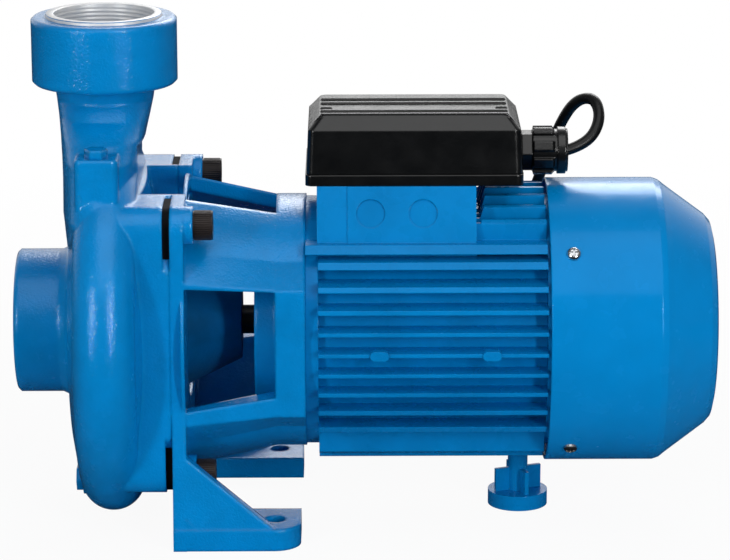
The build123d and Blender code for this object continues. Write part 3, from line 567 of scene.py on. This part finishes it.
@dataclass
class CoverScrewHeads:
    """Domed heads with a cross recess on the four screws of the fan cover."""

    station: float = 262.4
    seat_radius: float = 0.0810
    head_radius: float = 0.0041
    head_height: float = 0.0026
    recess: float = 0.0011
    slot_half: float = 0.00055
    slot_reach: float = 0.0024
    angles_deg: Sequence[float] = (48.8, 138.8, 228.8, 318.8)
    steps: int = 32
    rings: int = 14

    def height_at(self, x: float, y: float) -> float:
        """Height of the domed head with its cross recess, at a place on its plan."""
        share = min(1.0, math.hypot(x, y) / self.head_radius)
        dome = self.head_height * math.sqrt(max(0.0, 1.0 - share ** 3))
        across, along_slot = sorted((abs(x), abs(y)))
        inside = across < self.slot_half and along_slot < self.slot_reach
        return dome - self.recess if inside else dome

    def head(self) -> bpy.types.Object:
        """One head about the local Z axis, as the shape that the tree repeats."""
        made = bmesh.new()
        rows = []
        for ring in range(1, self.rings + 1):
            radius = self.head_radius * ring / self.rings
            row = []
            for step in range(self.steps):
                angle = 2 * math.pi * step / self.steps
                x, y = radius * math.cos(angle), radius * math.sin(angle)
                row.append(made.verts.new((x, y, self.height_at(x, y))))
            rows.append(row)
        centre = made.verts.new((0, 0, self.height_at(0, 0)))
        low = made.verts.new((0, 0, -0.0006))
        skirt = [made.verts.new((v.co.x, v.co.y, -0.0006)) for v in rows[-1]]
        for step in range(self.steps):
            after = (step + 1) % self.steps
            made.faces.new((centre, rows[0][step], rows[0][after]))
            for inner, outer in zip(rows, rows[1:]):
                made.faces.new((inner[step], outer[step], outer[after], inner[after]))
            made.faces.new((rows[-1][step], skirt[step], skirt[after], rows[-1][after]))
            made.faces.new((low, skirt[after], skirt[step]))
        mesh = bpy.data.meshes.new("screw_head")
        made.to_mesh(mesh)
        made.free()
        head = bpy.data.objects.new("screw_head", mesh)
        bpy.context.scene.collection.objects.link(head)
        return head

    def tree(self, head: bpy.types.Object) -> bpy.types.NodeTree:
        """Geometry tree: the head at each point, turned to face away from the shaft axis."""
        tree = new_tree("radial_screws", {"Shaft Height": SHAFT_HEIGHT, "Station": along(self.station)}, {})
        given = add_node(tree, "NodeGroupInput")
        info = add_node(tree, "GeometryNodeObjectInfo", inputs={"Object": head})
        middle = add_node(tree, "ShaderNodeCombineXYZ", inputs={
            "X": given.outputs["Station"], "Z": given.outputs["Shaft Height"]})
        spot = add_node(tree, "GeometryNodeInputPosition")
        away = add_node(tree, "ShaderNodeVectorMath", {"operation": "SUBTRACT"}, {
            0: spot.outputs[0], 1: middle.outputs[0]})
        facing = add_node(tree, "FunctionNodeAlignEulerToVector", {"axis": "Z"}, {
            "Vector": away.outputs[0]})
        placed = add_node(tree, "GeometryNodeInstanceOnPoints", inputs={
            "Points": given.outputs["Geometry"], "Instance": info.outputs["Geometry"],
            "Rotation": facing.outputs[0]})
        solid = add_node(tree, "GeometryNodeRealizeInstances", inputs={"Geometry": placed.outputs[0]})
        dressed = add_node(tree, "GeometryNodeSetMaterial", inputs={
            "Geometry": solid.outputs[0], "Material": CHROME_PLATE.material()})
        add_node(tree, "NodeGroupOutput", inputs={"Geometry": dressed.outputs[0]})
        return tree

    def build(self) -> bpy.types.Object:
        """Make the four heads as one piece that stands for the plain screws."""
        places = []
        for angle_deg in self.angles_deg:
            angle = math.radians(angle_deg)
            places.append((along(self.station), self.seat_radius * math.cos(angle),
                           SHAFT_HEIGHT + self.seat_radius * math.sin(angle)))
        carrier = bpy.data.meshes.new("screw_places")
        carrier.from_pydata(places, [], [])
        head = self.head()
        mesh = baked("fan_cover_screw_heads", carrier, self.tree(head), {})
        bpy.data.objects.remove(head)
        piece = finished_mesh("fan_cover_screw_heads", mesh, CHROME_PLATE)
        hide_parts("fan_cover_screw_1", "fan_cover_screw_2", "fan_cover_screw_3",
                    "fan_cover_screw_4")
        return piece


@dataclass
class SupplyCable:
    """Rubber-sheathed cable: its loop at the gland, its fall behind the motor and its coil."""

    diameter: float = 0.0065
    length: float = 1.33
    turns: int = 4
    coil_centre: tuple[float, float] = (0.190 + DISCHARGE_AXIS_X, 0.150)
    coil_radius: float = 0.036
    points_per_turn: int = 14
    # The same points as the part's route, in millimetres: station, y, z.
    fall_mm: Sequence[Point] = (
        (261.8, 0, 210), (273.5, 2, 213), (281.5, 10, 225), (279, 21, 236), (268.5, 30, 233),
        (260, 36.5, 218), (254.5, 44, 199), (250, 62, 182), (246, 84, 161), (243, 97, 128),
        (241, 100, 90), (238.5, 99, 70), (236.5, 101, 50), (234.5, 106, 27), (232, 118, 9.5),
        (229.8, 136, 3.4))
    tail_mm: Sequence[Point] = ((177, 190.5, 3.4), (162, 188, 3.4), (148, 183, 3.4))

    def coil_points(self) -> list[Point]:
        """Control points of the coil's turns, two wide and two high, wound from the outside."""
        half = self.diameter / 2
        lanes = [(half, half), (-half, half), (-half, 3 * half), (half, 3 * half)]
        points: list[Point] = []
        steps = self.points_per_turn
        total = self.turns * steps + steps // 4
        for step in range(total + 1):
            lap = min(step / steps, self.turns - 0.001)
            lane = int(lap)
            following = min(lane + 1, len(lanes) - 1)
            blend = max(0.0, (lap - lane) - 0.75) * 4
            out = lanes[lane][0] * (1 - blend) + lanes[following][0] * blend
            high = lanes[lane][1] * (1 - blend) + lanes[following][1] * blend
            angle = 2 * math.pi * step / steps
            radius = self.coil_radius + out
            points.append((self.coil_centre[0] + radius * math.cos(angle),
                           self.coil_centre[1] + radius * math.sin(angle),
                           high + 0.00015))
        return points

    def route(self) -> list[Point]:
        """All control points of the cable, from the gland to the plug."""
        fall = [(along(s), y * MM, z * MM) for s, y, z in self.fall_mm]
        tail = [(along(s), y * MM, z * MM) for s, y, z in self.tail_mm]
        return fall + self.coil_points() + tail

    def build(self, frame: dict[str, Any]) -> bpy.types.Object:
        """Returns:
            The cable's object.
        """
        curve = bpy.data.curves.new("supply_cable_sheath", "CURVE")
        curve.dimensions = "3D"
        curve.bevel_depth = self.diameter / 2
        curve.bevel_resolution = 4
        curve.resolution_u = 8
        curve.use_fill_caps = True
        spline = curve.splines.new("NURBS")
        route = self.route()
        spline.points.add(len(route) - 1)
        for point, place in zip(spline.points, route):
            point.co = (*place, 1.0)
        spline.order_u = 3
        spline.use_endpoint_u = True
        cable = bpy.data.objects.new("supply_cable_sheath", curve)
        bpy.context.scene.collection.objects.link(cable)
        wear(cable, CABLE_SHEATH)
        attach(cable, "pump_body")
        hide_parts("supply_cable", "cable_coil", "cable_tail")
        LOG.info("cable with %d control points", len(route))
        return cable


@dataclass
class Studio:
    """Camera at the photograph's place, a pale floor and soft light."""

    camera_place: Point = (0.1391 + DISCHARGE_AXIS_X, -1.8847, 0.6292)
    yaw_deg: float = 0.24
    pitch_deg: float = 14.72
    roll_deg: float = -0.12
    lens_mm: float = 167.7
    floor_size: float = 12.0
    floor_glow: float = 0.94
    soft_light: float = 0.13
    lamp_distance: float = 2.2

    def camera(self) -> bpy.types.Object:
        """Place the camera where the photograph was taken from."""
        yaw, pitch, roll = (math.radians(a) for a in (self.yaw_deg, self.pitch_deg, self.roll_deg))
        level = Vector((math.sin(yaw), math.cos(yaw), 0))
        right = Vector((math.cos(yaw), -math.sin(yaw), 0))
        up = Vector((0, 0, 1))
        forward = level * math.cos(pitch) - up * math.sin(pitch)
        tilted = up * math.cos(pitch) + level * math.sin(pitch)
        side = right * math.cos(roll) + tilted * math.sin(roll)
        top = tilted * math.cos(roll) - right * math.sin(roll)
        data = bpy.data.cameras.new("photo_camera")
        data.lens = self.lens_mm
        data.sensor_width = 36.0
        data.clip_end = 50.0
        camera = bpy.data.objects.new("photo_camera", data)
        turn = Matrix((side, top, -forward)).transposed().to_4x4()
        camera.matrix_world = Matrix.Translation(self.camera_place) @ turn
        bpy.context.scene.collection.objects.link(camera)
        bpy.context.scene.camera = camera
        return camera

    def lamp(self, name: str, azimuth_deg: float, height_deg: float, size: tuple[float, float],
             watts: float) -> None:
        """Add a soft box that faces the pump; azimuth counts from the camera's side to +X."""
        azimuth, height = math.radians(azimuth_deg), math.radians(height_deg)
        aim = Vector((0.05, 0, 0.13))
        reach = Vector((math.sin(azimuth) * math.cos(height), -math.cos(azimuth) * math.cos(height),
                        math.sin(height)))
        data = bpy.data.lights.new(name, "AREA")
        data.shape = "RECTANGLE"
        data.size, data.size_y = size
        data.energy = watts
        lamp = bpy.data.objects.new(name, data)
        lamp.location = aim + reach * self.lamp_distance
        lamp.rotation_euler = (-reach).to_track_quat("-Z", "Y").to_euler()
        bpy.context.scene.collection.objects.link(lamp)

    def white_when_seen(self, tree: bpy.types.NodeTree) -> Any:
        """Return a socket that is one where the camera looks and where gloss mirrors the backdrop.

        Mirrored directions fade to dim on the camera's own side, where the real studio is dark.
        """
        path = add_node(tree, "ShaderNodeLightPath")
        way = add_node(tree, "ShaderNodeTexCoord")
        parts = add_node(tree, "ShaderNodeSeparateXYZ", inputs={0: way.outputs["Generated"]})
        behind = add_node(tree, "ShaderNodeMapRange", inputs={
            "Value": parts.outputs["Y"], "From Min": 0.3, "From Max": 0.85, "To Min": 0.04})
        mirrored = add_node(tree, "ShaderNodeMath", {"operation": "MAXIMUM"}, {
            0: path.outputs["Is Glossy Ray"], 1: path.outputs["Is Transmission Ray"]})
        backdrop = add_node(tree, "ShaderNodeMath", {"operation": "MULTIPLY"}, {
            0: mirrored.outputs[0], 1: behind.outputs[0]})
        return add_node(tree, "ShaderNodeMath", {"operation": "MAXIMUM"}, {
            0: path.outputs["Is Camera Ray"], 1: backdrop.outputs[0]}).outputs[0]

    def world(self) -> None:
        """Even pale surroundings for soft light, white where they are seen or mirrored."""
        world = bpy.data.worlds.new("studio")
        bpy.context.scene.world = world
        world.use_nodes = True
        tree = world.node_tree
        tree.nodes.clear()
        dim = add_node(tree, "ShaderNodeBackground", inputs={
            "Color": linear("#E6EAEE"), "Strength": self.soft_light})
        bright = add_node(tree, "ShaderNodeBackground", inputs={"Color": (1, 1, 1, 1), "Strength": 1.0})
        mixed = add_node(tree, "ShaderNodeMixShader", inputs={
            0: self.white_when_seen(tree), 1: dim.outputs[0], 2: bright.outputs[0]})
        add_node(tree, "ShaderNodeOutputWorld", inputs={"Surface": mixed.outputs[0]})

    def floor(self) -> bpy.types.Object:
        """Wide pale floor at the height of the feet, which gloss mirrors as the studio's dark one."""
        mesh = bpy.data.meshes.new("floor")
        half = self.floor_size / 2
        mesh.from_pydata([(-half, -half, 0), (half, -half, 0), (half, half, 0), (-half, half, 0)],
                         [], [(0, 1, 2, 3)])
        floor = bpy.data.objects.new("floor", mesh)
        bpy.context.scene.collection.objects.link(floor)
        made = bpy.data.materials.new("pale_studio_floor")
        made.use_nodes = True
        tree = made.node_tree
        tree.nodes.clear()
        path = add_node(tree, "ShaderNodeLightPath")
        tone = add_node(tree, "ShaderNodeMix", {"data_type": "RGBA"}, {
            0: path.outputs["Is Glossy Ray"], 6: linear("#DCDEE0"), 7: linear("#2A2D30")})
        paper = add_node(tree, "ShaderNodeBsdfDiffuse", inputs={"Color": tone.outputs[2]})
        glow = add_node(tree, "ShaderNodeEmission", inputs={"Color": (1, 1, 1, 1), "Strength": 1.0})
        place = add_node(tree, "ShaderNodeTexCoord")
        reach = add_node(tree, "ShaderNodeVectorMath", {"operation": "LENGTH"}, {
            0: place.outputs["Object"]})
        whiter = add_node(tree, "ShaderNodeMapRange", inputs={
            "Value": reach.outputs["Value"], "From Min": 0.3, "From Max": 0.9,
            "To Min": self.floor_glow, "To Max": 1.0})
        fade = add_node(tree, "ShaderNodeMath", {"operation": "MULTIPLY"}, {
            0: path.outputs["Is Camera Ray"], 1: whiter.outputs[0]})
        mixed = add_node(tree, "ShaderNodeMixShader", inputs={
            0: fade.outputs[0], 1: paper.outputs[0], 2: glow.outputs[0]})
        add_node(tree, "ShaderNodeOutputMaterial", inputs={"Surface": mixed.outputs[0]})
        mesh.materials.append(made)
        return floor

    def build(self) -> None:
        """Set up the whole studio."""
        self.camera()
        self.world()
        self.floor()
        self.lamp("left_strip", -38, 14, (0.14, 0.9), 13.5)
        self.lamp("right_strip", 30, 14, (0.14, 0.9), 17.5)
        self.lamp("top_box", 14, 60, (2.4, 2.2), 24.0)
        self.lamp("back_box", 168, 34, (1.3, 0.9), 20.0)
        bpy.context.scene.view_settings.view_transform = "Standard"
        LOG.info("studio ready")


def main() -> None:
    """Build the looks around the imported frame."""
    logging.basicConfig(level=logging.INFO)
    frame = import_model()
    Studio().build()
    SupplyCable().build(frame)
    Dressing().dress(frame)
    for port in PORTS:
        port.build()
    JointGapShade().build()
    BoltKnurls().build()
    CoverScrewHeads().build()


if __name__ == "__main__":
    main()
